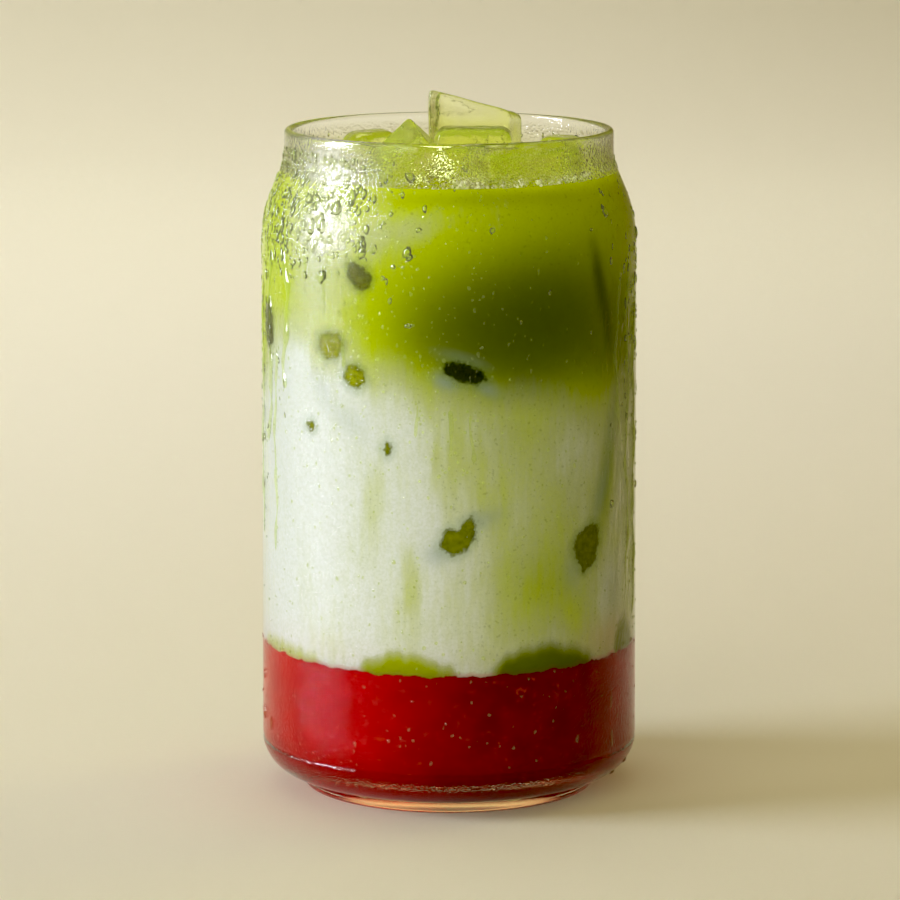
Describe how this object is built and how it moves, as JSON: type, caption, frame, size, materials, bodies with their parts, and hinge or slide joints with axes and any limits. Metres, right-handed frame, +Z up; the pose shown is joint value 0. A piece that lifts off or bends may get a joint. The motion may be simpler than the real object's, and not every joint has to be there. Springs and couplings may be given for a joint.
{
  "type": "iced matcha latte",
  "caption": "Iced matcha latte in a can-shaped glass tumbler, with red strawberry puree, white milk and green matcha in layers and clear ice cubes standing out of the top.",
  "frame": {"origin": "centre of the foot, on the surface the glass stands on", "axes": "+Z up along the axis of the glass, -Y towards the side that the picture shows, +X to the right seen from there"},
  "size_m": [0.0764, 0.0764, 0.1408],
  "materials": {
    "glass": "clear, smooth, wet outside with fine condensation",
    "puree": "food: opaque red fruit puree, smooth against the glass with fine pulp",
    "milk": "food: white milk, smooth, tinted green where matcha has sunk into it",
    "matcha": "food: cloudy yellow-green matcha, smooth",
    "ice": "clear wet ice, tinted by the drink under it"
  },
  "bodies": {
    "root": {"glass": "glass", "strawberry_puree": "puree", "milk": "milk", "matcha": "matcha", "matcha_pool_1": "matcha", "matcha_pool_2": "matcha", "matcha_pool_3": "matcha", "matcha_pool_4": "matcha", "matcha_pool_5": "matcha", "matcha_pool_6": "matcha", "ice_tall": "ice", "ice_corner": "ice", "ice_flat": "ice", "ice_front": "ice", "ice_left": "ice", "ice_right": "ice"}
  },
  "joints": []
}
